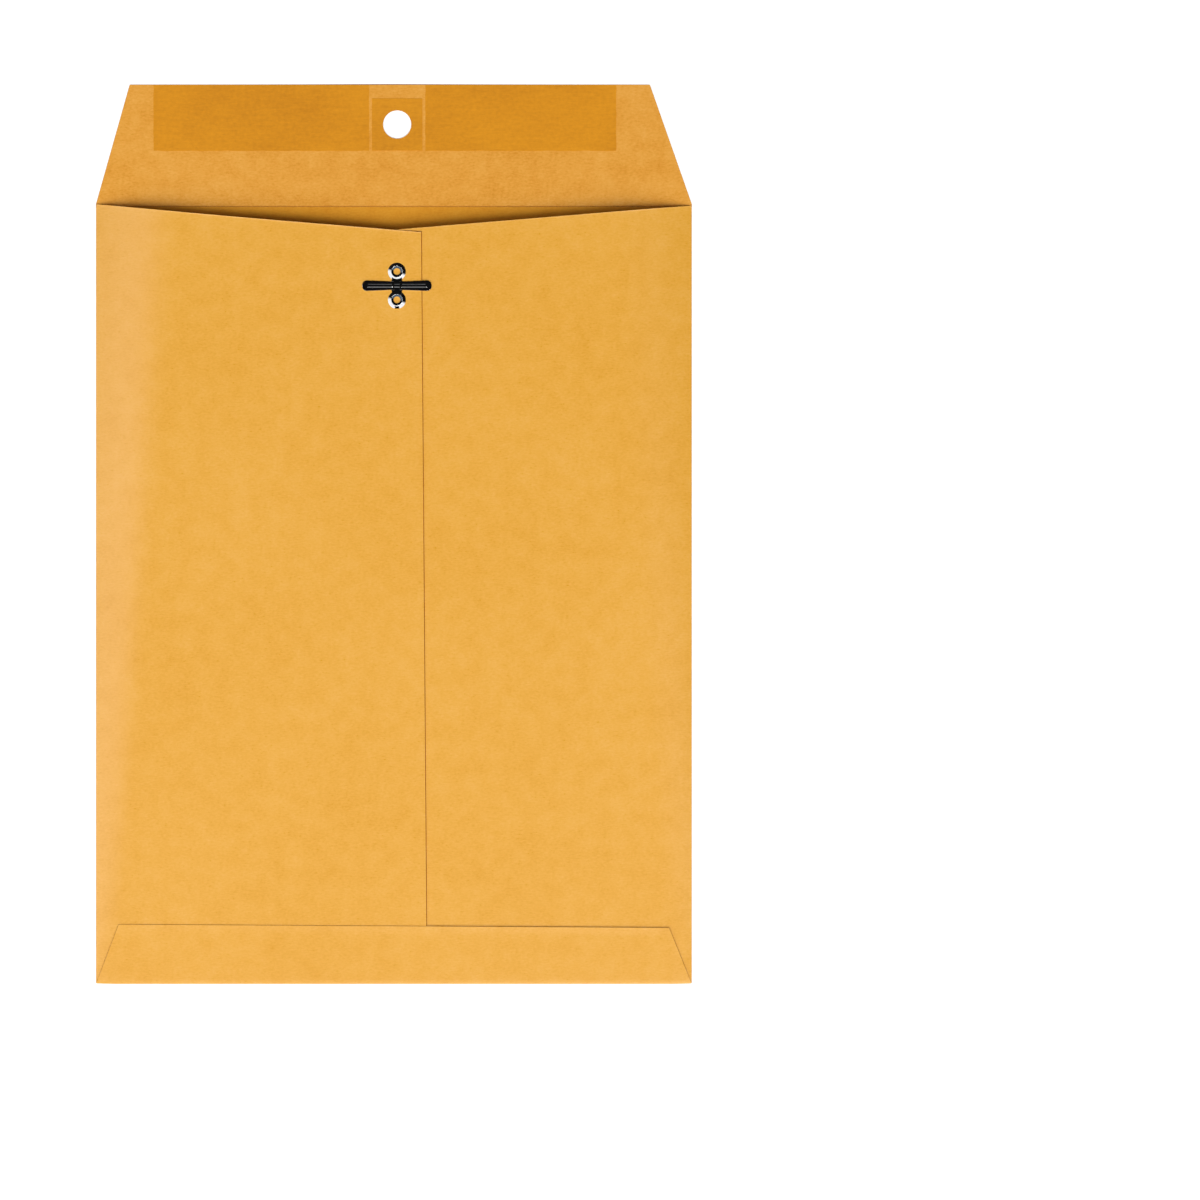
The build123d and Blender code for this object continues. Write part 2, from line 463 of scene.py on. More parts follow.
def eyelet_places():
    """The two eyelets on the back at rest, upper one first."""
    centre = flat_point(prong_pivot)
    places = []
    for side in (1, -1):
        flat = Vector((hole_x, centre.y + side * eyelet_pitch / 2, left_height + paper / 2))
        places.append(lifted_matrix() @ flat)
    return places


# Bottom flap, with the half-round fold that carries it round from the front panel
def bottom_sheet():
    edge_height = side_height + bottom_flap_height - left_height
    left_root = -side_x + paper
    right_root = side_x - paper
    shares = spaced(0, 1, sheet_step / (2 * side_x))
    rows = []
    for step in range(bottom_fold_steps):
        turn = math.pi * (step / bottom_fold_steps - 0.5)
        row = []
        for share in shares:
            x = lerp(left_root, right_root, share)
            outer = (back_z(x, gape_hinge.y, bottom_flap_height, edge_height) + paper / 2) / 2
            pair = []
            for radius in (outer, outer - paper):
                y = gape_hinge.y - radius * math.cos(turn)
                pair.append((x, y, outer + radius * math.sin(turn)))
            row.append(pair)
        rows.append(row)
    for along in spaced(0, 1, bottom_row_step / bottom_left_height):
        left = lerp(left_root, -side_x + bottom_inset, along)
        right = lerp(right_root, side_x - bottom_inset, along)
        row = []
        for share in shares:
            x = lerp(left, right, share)
            top = bottom_y + lerp(bottom_left_height, bottom_right_height, share)
            y = lerp(gape_hinge.y, top, along)
            inside = min(top - y, x - left, right - x) if along > 0 else top - y
            curl = bottom_edge_lift * smooth(1 - inside / bottom_edge_width)
            curl *= smooth(along / bottom_curl_start)
            row.append(flat_pair(x, y, back_z(x, y, bottom_flap_height, edge_height) + curl, paper))
        rows.append(row)
    cut = [(side, bottom_edge_slope) for side in ("high", "start", "end")]
    return shell("bottom_flap_sheet", rows, cut)


# Seal flap, with the crease that it folds at
def flap_edges(y):
    """Left and right edge of the seal flap at a height, with the tips rounded."""
    slant = max(0.0, (y - flap_root) / (flap_top - flap_root))
    left = -side_x + flap_left_inset * slant
    right = side_x - flap_right_inset * slant
    over = y - (flap_top - flap_corner)
    if over > 0:
        cut = flap_corner - math.sqrt(max(0.0, flap_corner**2 - over**2))
        left += cut
        right -= cut
    return left, right


def flap_sheet():
    ys = spaced(crease_low.y, fold_y - groove_width, crease_step)
    ys += [fold_y]
    ys += spaced(fold_y + groove_width, crease_high.y, crease_step)
    ys += spaced(crease_high.y, flap_top - flap_corner, flap_row_step)[1:]
    ys += [flap_top - flap_corner * (1 - share) for share in round_shares]
    shares = spaced(0, 1, sheet_step / (2 * side_x))
    rows = []
    for y in ys:
        left, right = flap_edges(y)
        top = paper - groove_depth if y == fold_y else paper
        xs = [lerp(left, right, share) for share in shares]
        rows.append([[(x, y, top), (x, y, 0.0)] for x in xs])
    cut = (("high", edge_slope), ("start", flap_side_slope), ("end", flap_side_slope))
    piece = shell("flap_sheet", rows, cut)
    punch(piece, hole_x, hole_y, hole_radius)
    return piece


def waver(place, fast, slow, start):
    """How far an uneven edge strays at a place along it, by two waves in radians per metre."""
    return gum_waver * math.sin(place * fast) * math.sin(place * slow + start)


def film(name, node):
    """A thin coat where a CAD node lies, with a slightly uneven outline."""
    low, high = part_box(node)
    xs = spaced(low.x, high.x, film_step)
    ys = spaced(low.y, high.y, film_step)
    rows = []
    for y in ys:
        row = []
        for x in xs:
            moved_x, moved_y = x, y
            if x in (xs[0], xs[-1]):
                moved_x += waver(y, fast=900, slow=370, start=1)
            if y == ys[0]:
                moved_y += waver(x, fast=640, slow=230, start=2)
            row.append([(moved_x, moved_y, high.z), (moved_x, moved_y, low.z)])
        rows.append(row)
    return shell(name, rows)


def hidden_film(name, x_low, x_high, y_low, y_high, height, thickness):
    """A coat of gum between two layers of the back. x limits are functions of the share along y."""
    rows = []
    for along in spaced(0, 1, flat_step / (y_high - y_low)):
        y = lerp(y_low, y_high, along)
        xs = spaced(x_low(along), x_high(along), hidden_step)
        rows.append([flat_pair(x, y, back_z(x, y, height, side_height), thickness) for x in xs])
    return shell(name, rows)


def patch_sheet():
    xs = spaced(patch_low.x, patch_high.x, patch_step)
    ys = spaced(patch_low.y, patch_high.y, patch_step)
    rows = [[[(x, y, patch_high.z), (x, y, patch_low.z)] for x in xs] for y in ys]
    piece = shell("hole_patch_paper", rows)
    punch(piece, hole_x, hole_y, hole_radius)
    return piece


# Clasp
def arc_points(centre, radius, start, end, steps):
    """Points on an arc between two angles in degrees."""
    points = []
    for index in range(steps + 1):
        turn = math.radians(lerp(start, end, index / steps))
        points.append((centre.x + radius * math.cos(turn), centre.y + radius * math.sin(turn)))
    return points


def eyelet_profile():
    """Section of a drawn eyelet, as (radius, height) over the paper, going round once.

    A straight flank rises to a rounded crest, and a straight funnel falls from there to the bore.
    """
    inside = -paper
    flange = inside - clinch_height
    crest = Vector((crest_radius, rim_height))
    flank_tilt = math.atan2(rim_height, rim_radius - crest_radius)
    funnel_tilt = math.atan2(rim_height, crest_radius - bore_radius)
    flank_normal = Vector((math.sin(flank_tilt), math.cos(flank_tilt)))
    funnel_normal = Vector((-math.sin(funnel_tilt), math.cos(funnel_tilt)))
    inwards = (flank_normal + funnel_normal) / (1 + flank_normal.dot(funnel_normal))
    middle = crest - crest_rounding * inwards
    turns = (90 - math.degrees(flank_tilt), 90 + math.degrees(funnel_tilt))
    rounded = arc_points(middle, crest_rounding, *turns, crest_steps)
    flank_top = rounded[0]
    flank_shares = (0.0, 0.02, 0.15, 0.3, 0.45, 0.6, 0.75, 0.9)
    points = [(lerp(rim_radius, flank_top[0], share), flank_top[1] * share) for share in flank_shares]
    points += rounded
    points += [
        (bore_radius, 0),
        (bore_radius, flange),
        (clinch_radius, flange),
        (clinch_radius, inside),
        (barrel_radius, inside),
        (barrel_radius, 0),
    ]
    return points


def lathe(name, profile, place, flat_tab):
    """A ring turned from a closed profile, with a small flat tab at its lower foot if asked."""
    points = []
    for index in range(eyelet_segments):
        turn = 2 * math.pi * index / eyelet_segments
        for radius, height in profile:
            x, y = radius * math.cos(turn), radius * math.sin(turn)
            if flat_tab and abs(x) < tab_half_width and y < -tab_start and height > 0:
                height = metal
            points.append(place + Vector((x, y, height)))
    count = len(profile)
    faces = []
    for index in range(eyelet_segments):
        following = (index + 1) % eyelet_segments
        for step in range(count):
            after = (step + 1) % count
            near, far = index * count, following * count
            faces.append((near + step, far + step, far + after, near + after))
    mesh = bpy.data.meshes.new(name)
    mesh.from_pydata(points, [], faces)
    face_outwards(mesh)
    return make_object(name, mesh)


def clasp_stamping():
    """The fixed part of the clasp: two drawn eyelets, their necks and the middle of the bar."""
    centre = flat_point(prong_pivot)
    base = Vector((hole_x, centre.y, left_height + paper / 2))
    top = prong_lift + metal
    outline = [(neck_width / 2, neck_end), (neck_width / 2, neck_waist)]
    outline += [(neck_root_width / 2, neck_start), (middle_half, neck_start)]
    outline += [(x, -y) for x, y in reversed(outline)]
    outline += [(-x, y) for x, y in reversed(outline)]
    form = bmesh.new()
    corners = [form.verts.new(base + Vector((x, y, 0))) for x, y in outline]
    floor_face = form.faces.new(corners)
    raised = bmesh.ops.extrude_face_region(form, geom=[floor_face])["geom"]
    upper = [item for item in raised if isinstance(item, bmesh.types.BMVert)]
    bmesh.ops.translate(form, verts=upper, vec=(0, 0, top))
    bmesh.ops.recalc_face_normals(form, faces=form.faces)
    mesh = bpy.data.meshes.new("clasp_stamping")
    form.to_mesh(mesh)
    form.free()
    piece = make_object("clasp_stamping", mesh)
    combine(piece, middle_bead(base + Vector((0, 0, top))), "UNION")
    for side, flat_tab in ((1, False), (-1, True)):
        place = base + Vector((0, side * eyelet_pitch / 2, 0))
        ring = lathe("eyelet", eyelet_profile(), place, flat_tab)
        combine(piece, ring, "UNION")
    piece.data.transform(lifted_matrix())
    return piece


def middle_bead(place):
    """The stretch of the bar's bead that crosses the middle of the clasp.

    It is sunk into the metal, with its foot a hair above the top face, so that the two join cleanly.
    """
    sunk = 0.05 * MM
    skin = 0.002 * MM
    bead_top = bead_half - bead_ramp
    section = ((-bead_half, 0), (-bead_top, bead_height), (bead_top, bead_height), (bead_half, 0))
    rows = []
    for y, height in section:
        row = []
        for x in spaced(-middle_half, middle_half, bead_step):
            spot = place + Vector((x, y, 0))
            row.append([spot + Vector((0, 0, height + skin)), spot - Vector((0, 0, sunk))])
        rows.append(row)
    return shell("bead", rows)


def blade_lines(half):
    """Places across a prong of that half width, from its middle out.

    The first two lie on top of the bead and the third at its foot. The last ones round the edge.
    """
    flat_steps = 4
    foot = min(bead_half, half / 2)
    top = foot * (1 - bead_ramp / bead_half)
    edge = min(prong_edge, half / 4)
    lines = [0.0, top, foot]
    lines += spaced(foot, half - edge, (half - edge - foot) / flat_steps)[1:]
    lines += [half - edge * (1 - share) for share in round_shares]
    return lines


def prong_blade(name, side):
    """A flat tongue with softened edges, a round tip and a raised bead along its middle."""
    centre = flat_point(prong_pivot)
    base_z = left_height + paper / 2 + prong_lift
    tip_start = prong_length - prong_tip_radius
    bead_end = prong_length - bead_tip_margin
    bead_top_lines = 2
    along = spaced(-metal / 2, metal, prong_bend_step)
    along += spaced(metal, tip_start, prong_step)[1:]
    along += spaced(tip_start, bead_end, prong_tip_step)[1:]
    along += spaced(bead_end, prong_length - prong_edge, prong_tip_step)[1:]
    along += spaced(prong_length - prong_edge, prong_length, prong_edge_step)[1:]
    last = len(blade_lines(prong_root_width)) - 1
    rows = []
    for line in range(-last, last + 1):
        row = []
        for distance in along:
            half = lerp(prong_root_width, prong_tip_width, max(0, distance) / prong_length) / 2
            past = distance - tip_start
            if past > 0:
                half += math.sqrt(max(0, prong_tip_radius**2 - past**2)) - prong_tip_radius
            y = math.copysign(blade_lines(half)[abs(line)], line)
            inside = min(half - abs(y), prong_length - distance)
            high, low = metal, 0.0
            if abs(line) < bead_top_lines:
                started = (distance - bead_root) / bead_root_fade
                left_over = (bead_end - distance) / bead_fade
                high += bead_height * max(0.0, min(1.0, started, left_over))
            if inside < prong_edge:
                high -= prong_edge - math.sqrt(max(0, prong_edge**2 - (prong_edge - inside) ** 2))
            if distance < 0:
                reach = math.sqrt(prong_root_radius**2 - distance**2)
                low = max(low, metal / 2 - reach)
            x = hole_x + side * (prong_root + distance)
            row.append([Vector((x, centre.y + y, base_z + z)) for z in (high, low)])
        rows.append(row)
    piece = shell(name, rows)
    piece.data.transform(lifted_matrix())
    face_outwards(piece.data)
    return piece


# Materials
class Nodes:
    """A material's node tree, with short ways to add and join nodes."""

    def __init__(self, tree):
        self.tree = tree

    def add(self, kind, **settings):
        node = self.tree.nodes.new("ShaderNode" + kind)
        for key, value in settings.items():
            if hasattr(node, key):
                setattr(node, key, value)
            else:
                node.inputs[key.replace("_", " ")].default_value = value
        return node

    def join(self, source, target):
        self.tree.links.new(source, target)

    def math(self, operation, first, second):
        node = self.add("Math", operation=operation)
        for index, value in enumerate((first, second)):
            if isinstance(value, (int, float)):
                node.inputs[index].default_value = value
            else:
                self.join(value, node.inputs[index])
        return node.outputs[0]

    def noise(self, vector, scale, detail, roughness=0.5):
        node = self.add("TexNoise", Scale=scale, Detail=detail, Roughness=roughness)
        self.join(vector, node.inputs["Vector"])
        return node.outputs["Fac"]

    def turned(self, vector, angle, stretch):
        """The vector turned in the plane of the sheet, and stretched along one direction."""
        node = self.add("Mapping")
        node.inputs["Rotation"].default_value = (0, 0, math.radians(angle))
        node.inputs["Scale"].default_value = (1, stretch, 1)
        self.join(vector, node.inputs["Vector"])
        return node.outputs[0]

    def spread(self, value, span, to):
        """The value's span from low to high, carried over to another span."""
        node = self.add("MapRange", From_Min=span[0], From_Max=span[1], To_Min=to[0], To_Max=to[1])
        self.join(value, node.inputs["Value"])
        return node.outputs[0]

    def weighted(self, *parts):
        """Half, plus each part's swing about its own half, by its weight."""
        middle = 0.5
        total = middle
        for part, weight in parts:
            swing = self.math("MULTIPLY", self.math("SUBTRACT", part, middle), weight)
            total = self.math("ADD", swing, total)
        return total

    def ramp(self, value, stops):
        node = self.add("ValToRGB")
        for _ in stops[2:]:
            node.color_ramp.elements.new(0.5)
        for element, (place, colour) in zip(node.color_ramp.elements, stops):
            element.position = place
            element.color = (*colour, 1)
        self.join(value, node.inputs["Fac"])
        return node.outputs["Color"]

    def speckle(self, under, amount, colour):
        """The colour underneath, mixed towards another colour by an amount."""
        node = self.add("Mix", data_type="RGBA", blend_type="MIX")
        self.join(amount, node.inputs[0])
        self.join(under, node.inputs[6])
        node.inputs[7].default_value = (*colour, 1)
        return node.outputs[2]

    def emboss(self, surface, height, strength, depth):
        """Give the surface a fine relief that follows a height."""
        relief = self.add("Bump", Strength=strength, Distance=depth)
        self.join(height, relief.inputs["Height"])
        self.join(relief.outputs[0], surface.inputs["Normal"])


def new_material(name):
    made = bpy.data.materials.new(name)
    made.use_nodes = True
    nodes = Nodes(made.node_tree)
    return made, nodes, made.node_tree.nodes["Principled BSDF"]


def tinted(colour, *shares):
    """A tone of a colour: a share of its red, green and blue."""
    return tuple(channel * share for channel, share in zip(colour, shares))


def paper_material(name, colour, roughness, gloss, contrast, pale_specks):
    """Kraft paper: cloudy pulp, crossing fibres, small orange and pale specks, a faint sheen."""
    orange_specks = 0.4
    orange_rarity, pale_rarity = 0.8, 0.75
    speck_edge = (0.08, 0.24)
    sheen_swing = 0.06
    made, nodes, surface = new_material(name)
    sheet = nodes.add("TexCoord").outputs["UV"]
    drift = nodes.noise(sheet, scale=1.4, detail=2)
    blotch = nodes.noise(sheet, scale=13.0, detail=3, roughness=0.55)
    rolled = nodes.turned(sheet, angle=4, stretch=1.4)
    cloud = nodes.noise(rolled, scale=80.0, detail=4, roughness=0.62)
    rising = nodes.turned(sheet, angle=28, stretch=7.0)
    fibre_a = nodes.noise(rising, scale=40.0, detail=3, roughness=0.6)
    falling = nodes.turned(sheet, angle=-52, stretch=8.0)
    fibre_b = nodes.noise(falling, scale=36.0, detail=3, roughness=0.6)
    tone = nodes.weighted(
        (drift, 0.35 * contrast),
        (blotch, 0.55 * contrast),
        (cloud, 0.75 * contrast),
        (fibre_a, 0.45 * contrast),
        (fibre_b, 0.45 * contrast),
    )
    deep, pale = tinted(colour, 0.86, 0.74, 0.1), tinted(colour, 1.08, 1.2, 2.2)
    mottled = nodes.ramp(tone, [(0.0, deep), (0.5, colour), (1.0, pale)])
    cells = nodes.add("TexVoronoi", Scale=62.0, Randomness=1.0)
    nodes.join(sheet, cells.inputs["Vector"])
    picked = nodes.add("SeparateColor")
    nodes.join(cells.outputs["Color"], picked.inputs[0])
    near = nodes.spread(cells.outputs["Distance"], speck_edge, (1.0, 0.0))
    few = nodes.math("GREATER_THAN", picked.outputs[0], orange_rarity)
    orange = nodes.math("MULTIPLY", nodes.math("MULTIPLY", near, few), orange_specks)
    spotted = nodes.speckle(mottled, orange, tinted(colour, 1.0, 0.86, 0.5))
    some = nodes.math("GREATER_THAN", picked.outputs[1], pale_rarity)
    light = nodes.math("MULTIPLY", nodes.math("MULTIPLY", near, some), pale_specks)
    flecked = nodes.speckle(spotted, light, tinted(colour, 1.1, 1.2, 1.9))
    nodes.join(flecked, surface.inputs["Base Color"])
    satin = nodes.weighted((cloud, 1.0), (fibre_a, 0.6))
    rough = nodes.spread(satin, (0.0, 1.0), (roughness - sheen_swing, roughness + sheen_swing))
    nodes.join(rough, surface.inputs["Roughness"])
    surface.inputs["Specular IOR Level"].default_value = gloss
    grain = nodes.noise(sheet, scale=210.0, detail=3, roughness=0.6)
    height = nodes.weighted((grain, 0.8), (fibre_a, 0.8), (fibre_b, 0.8))
    nodes.emboss(surface, height, strength=0.2, depth=0.03 * MM)
    return made


def fibre_material(name, colour):
    """Bare fibres, at a cut edge or along a crease; the dark colours given to it also paint the thin
    shade lines there.
    """
    dullness = (0.75, 0.95)
    gloss = 0.2
    made, nodes, surface = new_material(name)
    sheet = nodes.add("TexCoord").outputs["UV"]
    combed = nodes.turned(sheet, angle=20, stretch=3.0)
    fibres = nodes.noise(combed, scale=150.0, detail=3, roughness=0.6)
    stops = [(0.3, tinted(colour, 0.75, 0.7, 0.6)), (0.7, tinted(colour, 1.25, 1.3, 1.4))]
    nodes.join(nodes.ramp(fibres, stops), surface.inputs["Base Color"])
    nodes.join(nodes.spread(fibres, (0.0, 1.0), dullness), surface.inputs["Roughness"])
    surface.inputs["Specular IOR Level"].default_value = gloss
    nodes.emboss(surface, fibres, strength=0.4, depth=0.03 * MM)
    return made


def gum_material(name, colour, roughness):
    """Dried gum: a thin satin coat, a little thicker in some places, with fine drying lines."""
    sheen_swing = 0.08
    gloss = 0.25
    made, nodes, surface = new_material(name)
    sheet = nodes.add("TexCoord").outputs["UV"]
    pool = nodes.noise(sheet, scale=2.2, detail=3, roughness=0.5)
    drawn = nodes.turned(sheet, angle=90, stretch=9.0)
    streak = nodes.noise(drawn, scale=10.0, detail=3, roughness=0.55)
    cloud = nodes.noise(sheet, scale=60.0, detail=4, roughness=0.6)
    rising = nodes.turned(sheet, angle=28, stretch=7.0)
    fibre = nodes.noise(rising, scale=40.0, detail=3, roughness=0.6)
    tone = nodes.weighted((pool, 1.1), (streak, 0.5), (cloud, 0.75), (fibre, 0.6))
    deep, pale = tinted(colour, 0.8, 0.74, 0.2), tinted(colour, 1.16, 1.22, 2.0)
    mottled = nodes.ramp(tone, [(0.0, deep), (0.5, colour), (1.0, pale)])
    nodes.join(mottled, surface.inputs["Base Color"])
    rough = nodes.spread(cloud, (0.0, 1.0), (roughness - sheen_swing, roughness + sheen_swing))
    nodes.join(rough, surface.inputs["Roughness"])
    surface.inputs["Specular IOR Level"].default_value = gloss
    height = nodes.weighted((cloud, 1.0), (streak, 0.8))
    nodes.emboss(surface, height, strength=0.25, depth=0.02 * MM)
    return made


def tinplate_material(name):
    """Bright tinplate: mirror smooth, with faint rolling lines and a few dull patches."""
    polish = (0.04, 0.09)
    made, nodes, surface = new_material(name)
    place = nodes.add("TexCoord").outputs["Object"]
    rolled = nodes.turned(place, angle=0, stretch=14.0)
    lines = nodes.noise(rolled, scale=900.0, detail=3, roughness=0.6)
    dull = nodes.noise(place, scale=420.0, detail=3, roughness=0.55)
    tone = nodes.weighted((dull, 0.8), (lines, 0.5))
    stops = [(0.0, (0.5, 0.5, 0.51)), (0.5, (0.72, 0.72, 0.73)), (1.0, (0.82, 0.82, 0.82))]
    nodes.join(nodes.ramp(tone, stops), surface.inputs["Base Color"])
    surface.inputs["Metallic"].default_value = 1.0
    nodes.join(nodes.spread(tone, (0.0, 1.0), polish), surface.inputs["Roughness"])
    nodes.emboss(surface, lines, strength=0.06, depth=0.01 * MM)
    return made


kraft = paper_material(
    "kraft outer face",
    (0.845, 0.413, 0.05),
    roughness=0.3,
    gloss=0.5,
    contrast=1.0,
    pale_specks=0.1,
)
kraft_inner = paper_material(
    "kraft inner face",
    (0.8, 0.346, 0.03),
    roughness=0.6,
    gloss=0.4,
    contrast=1.8,
    pale_specks=0.4,
)
# A darker, redder copy of the inner face for the inside of the pocket: painted shade for the dim throat
kraft_pocket_shade = paper_material(
    "kraft inside the pocket",
    (0.74, 0.305, 0.013),
    roughness=0.75,
    gloss=0.3,
    contrast=1.2,
    pale_specks=0.2,
)
# Cut edges: bare fibres, darkened and reddened to paint the thin shade line that falls along each cut
# edge
kraft_cut_and_shade = fibre_material("kraft cut edge", (0.31, 0.062, 0.002))
# The fold line: compressed fibres, darkened to paint the shade that falls in the crease's groove
kraft_crease_and_shade = fibre_material("kraft crease", (0.56, 0.22, 0.025))
flap_gum = gum_material("flap gum", (0.708, 0.272, 0.003), roughness=0.5)
patch_paper = gum_material("gummed patch", (0.71, 0.276, 0.004), roughness=0.52)
seam_gum = gum_material("seam gum", (0.55, 0.27, 0.05), roughness=0.5)
tinplate = tinplate_material("tinplate")


def dress(piece, slot, *materials):
    piece.data.materials.clear()
    for material in materials:
        piece.data.materials.append(material)
    shade(piece, metal_crease if slot == "tinplate" else paper_crease)


def dress_paper(piece, pick):
    """Dress a sheet face by face: pick gives the paper that a face shows."""
    chosen = [pick(face) for face in piece.data.polygons]
    shown = list(dict.fromkeys(chosen))
    dress(piece, "kraft", *shown)
    for face, material in zip(piece.data.polygons, chosen):
        face.material_index = shown.index(material)


def upturned_face(face, inner):
    """The paper on a sheet whose inner side faces up."""
    # Cut faces take the dark fibre colour, which paints the shade line along the edge
    if abs(face.normal.z) < cut_face:
        return kraft_cut_and_shade
    return inner if face.normal.z > 0 else kraft


# The inner face inside the pocket takes the darker copy of the paper, painted shade
def front_face(face):
    return upturned_face(face, kraft_pocket_shade)


# Faces along the fold take the darkened crease paper, a painted shade line
def flap_face(face):
    crease = face.normal.z > cut_face and abs(face.center.y - fold_y) < groove_width
    return kraft_crease_and_shade if crease else upturned_face(face, kraft_inner)


def back_face(face):
    """The paper on a sheet whose inner side faces down."""
    if abs(face.normal.z) < cut_face:
        return kraft_cut_and_shade
    return kraft_inner if face.normal.z < 0 else kraft


def bottom_face(face):
    return back_face(face) if face.center.y > gape_hinge.y else kraft


# Build and place the pieces
front = front_sheet()
dress_paper(front, front_face)
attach(front, "front")
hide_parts("front_panel")

flap = flap_sheet()
dress_paper(flap, flap_face)
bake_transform(flap)
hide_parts("flap_crease", "seal_flap")

for side, word in ((-1, "left"), (1, "right")):
    crease = side_crease(f"{word}_side_crease", side)
    dress(crease, "kraft", kraft)
    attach(crease, "front")

left_panel = back_sheet("left_back_sheet", -1, 0.0, left_height, seam_lift, cut=[("end", edge_slope)])
for eyelet in eyelet_places():
    punch(left_panel, eyelet.x, eyelet.y, barrel_radius + barrel_clearance)
right_panel = back_sheet("right_back_sheet", 1, -seam_overlap, right_height, 0.0)
for panel, word in ((left_panel, "left"), (right_panel, "right")):
    dress_paper(panel, back_face)
    flatten(panel)
    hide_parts(f"{word}_back_panel", f"{word}_side_fold")

bottom = bottom_sheet()
dress_paper(bottom, bottom_face)
flatten(bottom)
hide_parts("bottom_flap", "bottom_fold")

seam_low, seam_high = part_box("seam_gum")
seam_margin = seam_bottom - seam_high.x
glue = hidden_film(
    "seam_gum_film",
    lambda along: seam_x(along) - seam_overlap + seam_margin,
    lambda along: seam_x(along) - seam_margin,
    seam_low.y,
    seam_high.y,
    (left_height + right_height) / 2,
    left_height - right_height - paper,
)
for eyelet in eyelet_places():
    punch(glue, eyelet.x, eyelet.y, clinch_radius + clinch_clearance)
dress(glue, "gum", seam_gum)
flatten(glue)
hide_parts("seam_gum")

bottom_gum_low, bottom_gum_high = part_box("bottom_gum")
gum_film = bottom_flap_height - left_height - paper
bottom_glues = (
    ("left_bottom_gum_film", bottom_gum_low.x, seam_bottom - bottom_gum_margin, left_height, gum_film),
    (
        "right_bottom_gum_film",
        seam_bottom + bottom_gum_margin,
        bottom_gum_high.x,
        right_height,
        gum_film + left_height - right_height,
    ),
)
for name, low_x, high_x, under, thickness in bottom_glues:
    glue = hidden_film(
        name,
        lambda along, low_x=low_x: low_x,
        lambda along, high_x=high_x: high_x,
        bottom_gum_low.y,
        bottom_gum_high.y,
        under + paper / 2 + thickness / 2,
        thickness,
    )
    dress(glue, "gum", seam_gum)
    flatten(glue)
    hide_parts("bottom_gum")

for word in ("left", "right"):
    strip = film(f"{word}_gum_film", f"{word}_gum_strip")
    dress(strip, "flap_gum", flap_gum)
    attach(strip, "flap")
    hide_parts(f"{word}_gum_strip")

patch = patch_sheet()
dress(patch, "patch", patch_paper)
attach(patch, "flap")
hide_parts("hole_patch")

stamping = clasp_stamping()
dress(stamping, "tinplate", tinplate)
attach(stamping, "back")
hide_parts("clasp_base")

for side, word in ((-1, "left"), (1, "right")):
    blade = prong_blade(f"{word}_prong_blade", side)
    dress(blade, "tinplate", tinplate)
    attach(blade, f"{word}_prong")
    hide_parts(f"{word}_prong")


# Stage: a pale floor, and a studio that is bright low down on the near side and dark overhead
def pale_floor():
    """A wide white floor just under the envelope, with a glow that lights nothing else."""
    half = 12.0
    depth = -0.05 * MM
    white = 0.8
    dullness = 0.9
    glow = 0.35
    mesh = bpy.data.meshes.new("floor")
    corners = [(-half, -half, depth), (half, -half, depth), (half, half, depth), (-half, half, depth)]
    mesh.from_pydata(corners, [], [(0, 1, 2, 3)])
    floor = make_object("floor", mesh)
    made, nodes, surface = new_material("white floor")
    surface.inputs["Base Color"].default_value = (white, white, white, 1)
    surface.inputs["Roughness"].default_value = dullness
    surface.inputs["Emission Color"].default_value = (1, 1, 1, 1)
    path = nodes.add("LightPath")
    seen = nodes.math("MAXIMUM", path.outputs["Is Camera Ray"], path.outputs["Is Glossy Ray"])
    seen = nodes.math("MAXIMUM", seen, path.outputs["Is Transmission Ray"])
    nodes.join(nodes.math("MULTIPLY", seen, glow), surface.inputs["Emission Strength"])
    floor.data.materials.append(made)


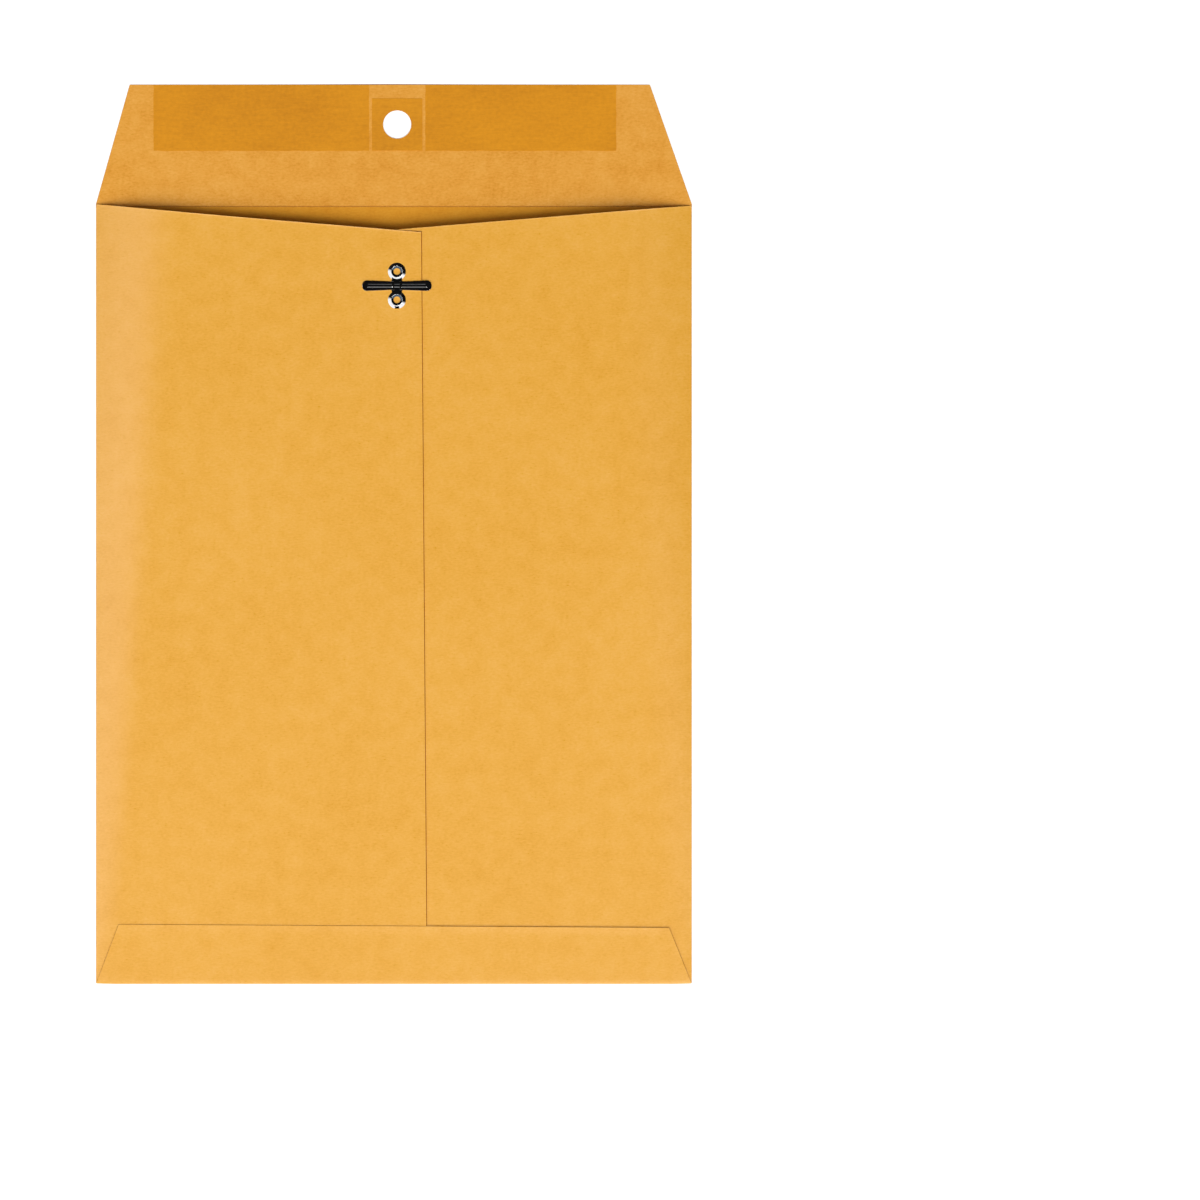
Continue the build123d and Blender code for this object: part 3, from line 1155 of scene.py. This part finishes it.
def studio():
    """A long softbox over a grey wall on the near side, and a dim strip of light on the far side.

    Heights are those of a direction: 0 is level and 1 straight up.
    """
    near_side = (-0.29, -0.957, 0.0)
    wall_edge = (0.3, 0.37)
    softbox_edge = (0.6, 0.67)
    strip_low_edge, strip_high_edge = (0.42, 0.44), (0.5, 0.52)
    near_edge, far_edge = (-0.05, 0.19), (-0.19, -0.05)
    softbox_strength, wall_strength, strip_strength, room_strength = 1.3, 0.2, 0.6, 0.006
    wall_colour, lamp_colour = (0.7, 0.92, 1.12), (1.0, 1.0, 1.0)
    world = bpy.data.worlds.new("studio")
    bpy.context.scene.world = world
    world.use_nodes = True
    nodes = Nodes(world.node_tree)
    background = world.node_tree.nodes["Background"]
    direction = nodes.add("TexCoord").outputs["Generated"]
    parts = nodes.add("SeparateXYZ")
    nodes.join(direction, parts.inputs[0])
    height = parts.outputs["Z"]
    cool_below = nodes.ramp(height, list(zip(wall_edge, (wall_colour, lamp_colour))))
    nodes.join(cool_below, background.inputs["Color"])
    towards = nodes.add("VectorMath", operation="DOT_PRODUCT")
    nodes.join(direction, towards.inputs[0])
    towards.inputs[1].default_value = near_side
    near = nodes.spread(towards.outputs["Value"], near_edge, (0.0, 1.0))
    lower_edge = nodes.spread(height, wall_edge, (0.0, 1.0))
    upper_edge = nodes.spread(height, softbox_edge, (softbox_strength, 0.0))
    softbox = nodes.math("MULTIPLY", nodes.math("MULTIPLY", lower_edge, upper_edge), near)
    wall = nodes.math("MULTIPLY", nodes.spread(height, wall_edge, (wall_strength, 0.0)), near)
    far = nodes.spread(towards.outputs["Value"], far_edge, (1.0, 0.0))
    strip_edge = nodes.spread(height, strip_low_edge, (0.0, 1.0))
    strip_top = nodes.spread(height, strip_high_edge, (strip_strength, 0.0))
    strip = nodes.math("MULTIPLY", nodes.math("MULTIPLY", strip_edge, strip_top), far)
    glow = nodes.math("ADD", nodes.math("ADD", softbox, wall), strip)
    nodes.join(nodes.math("ADD", glow, room_strength), background.inputs["Strength"])


def softbox_lamp(name, place, power, size):
    """A square softbox aimed at the envelope, so near that the side towards it is a little brighter."""
    light = bpy.data.lights.new(name, "AREA")
    light.energy = power
    light.size = size
    made = bpy.data.objects.new(name, light)
    made.location = place
    made.rotation_euler = (-Vector(place)).to_track_quat("-Z", "Y").to_euler()
    made.visible_camera = False
    bpy.context.scene.collection.objects.link(made)


def camera():
    """Straight down on the envelope, with the photo's framing."""
    view_width = 509.66 * MM
    middle_x, middle_y = 87.53 * MM, -2.04 * MM
    lens = 300.0
    sensor = 36.0
    distance = view_width * lens / sensor
    data = bpy.data.cameras.new("camera")
    data.sensor_width = sensor
    data.lens = lens
    data.clip_end = 4 * distance
    made = bpy.data.objects.new("camera", data)
    made.location = (middle_x, middle_y, distance)
    bpy.context.scene.collection.objects.link(made)
    bpy.context.scene.camera = made


pale_floor()
studio()
softbox_lamp("key", place=(0.9, -1.76, 3.1), power=102.0, size=2.28)
softbox_lamp("side", place=(-0.95, -0.22, 1.65), power=10.5, size=1.09)
camera()
bpy.context.scene.view_settings.view_transform = "Standard"
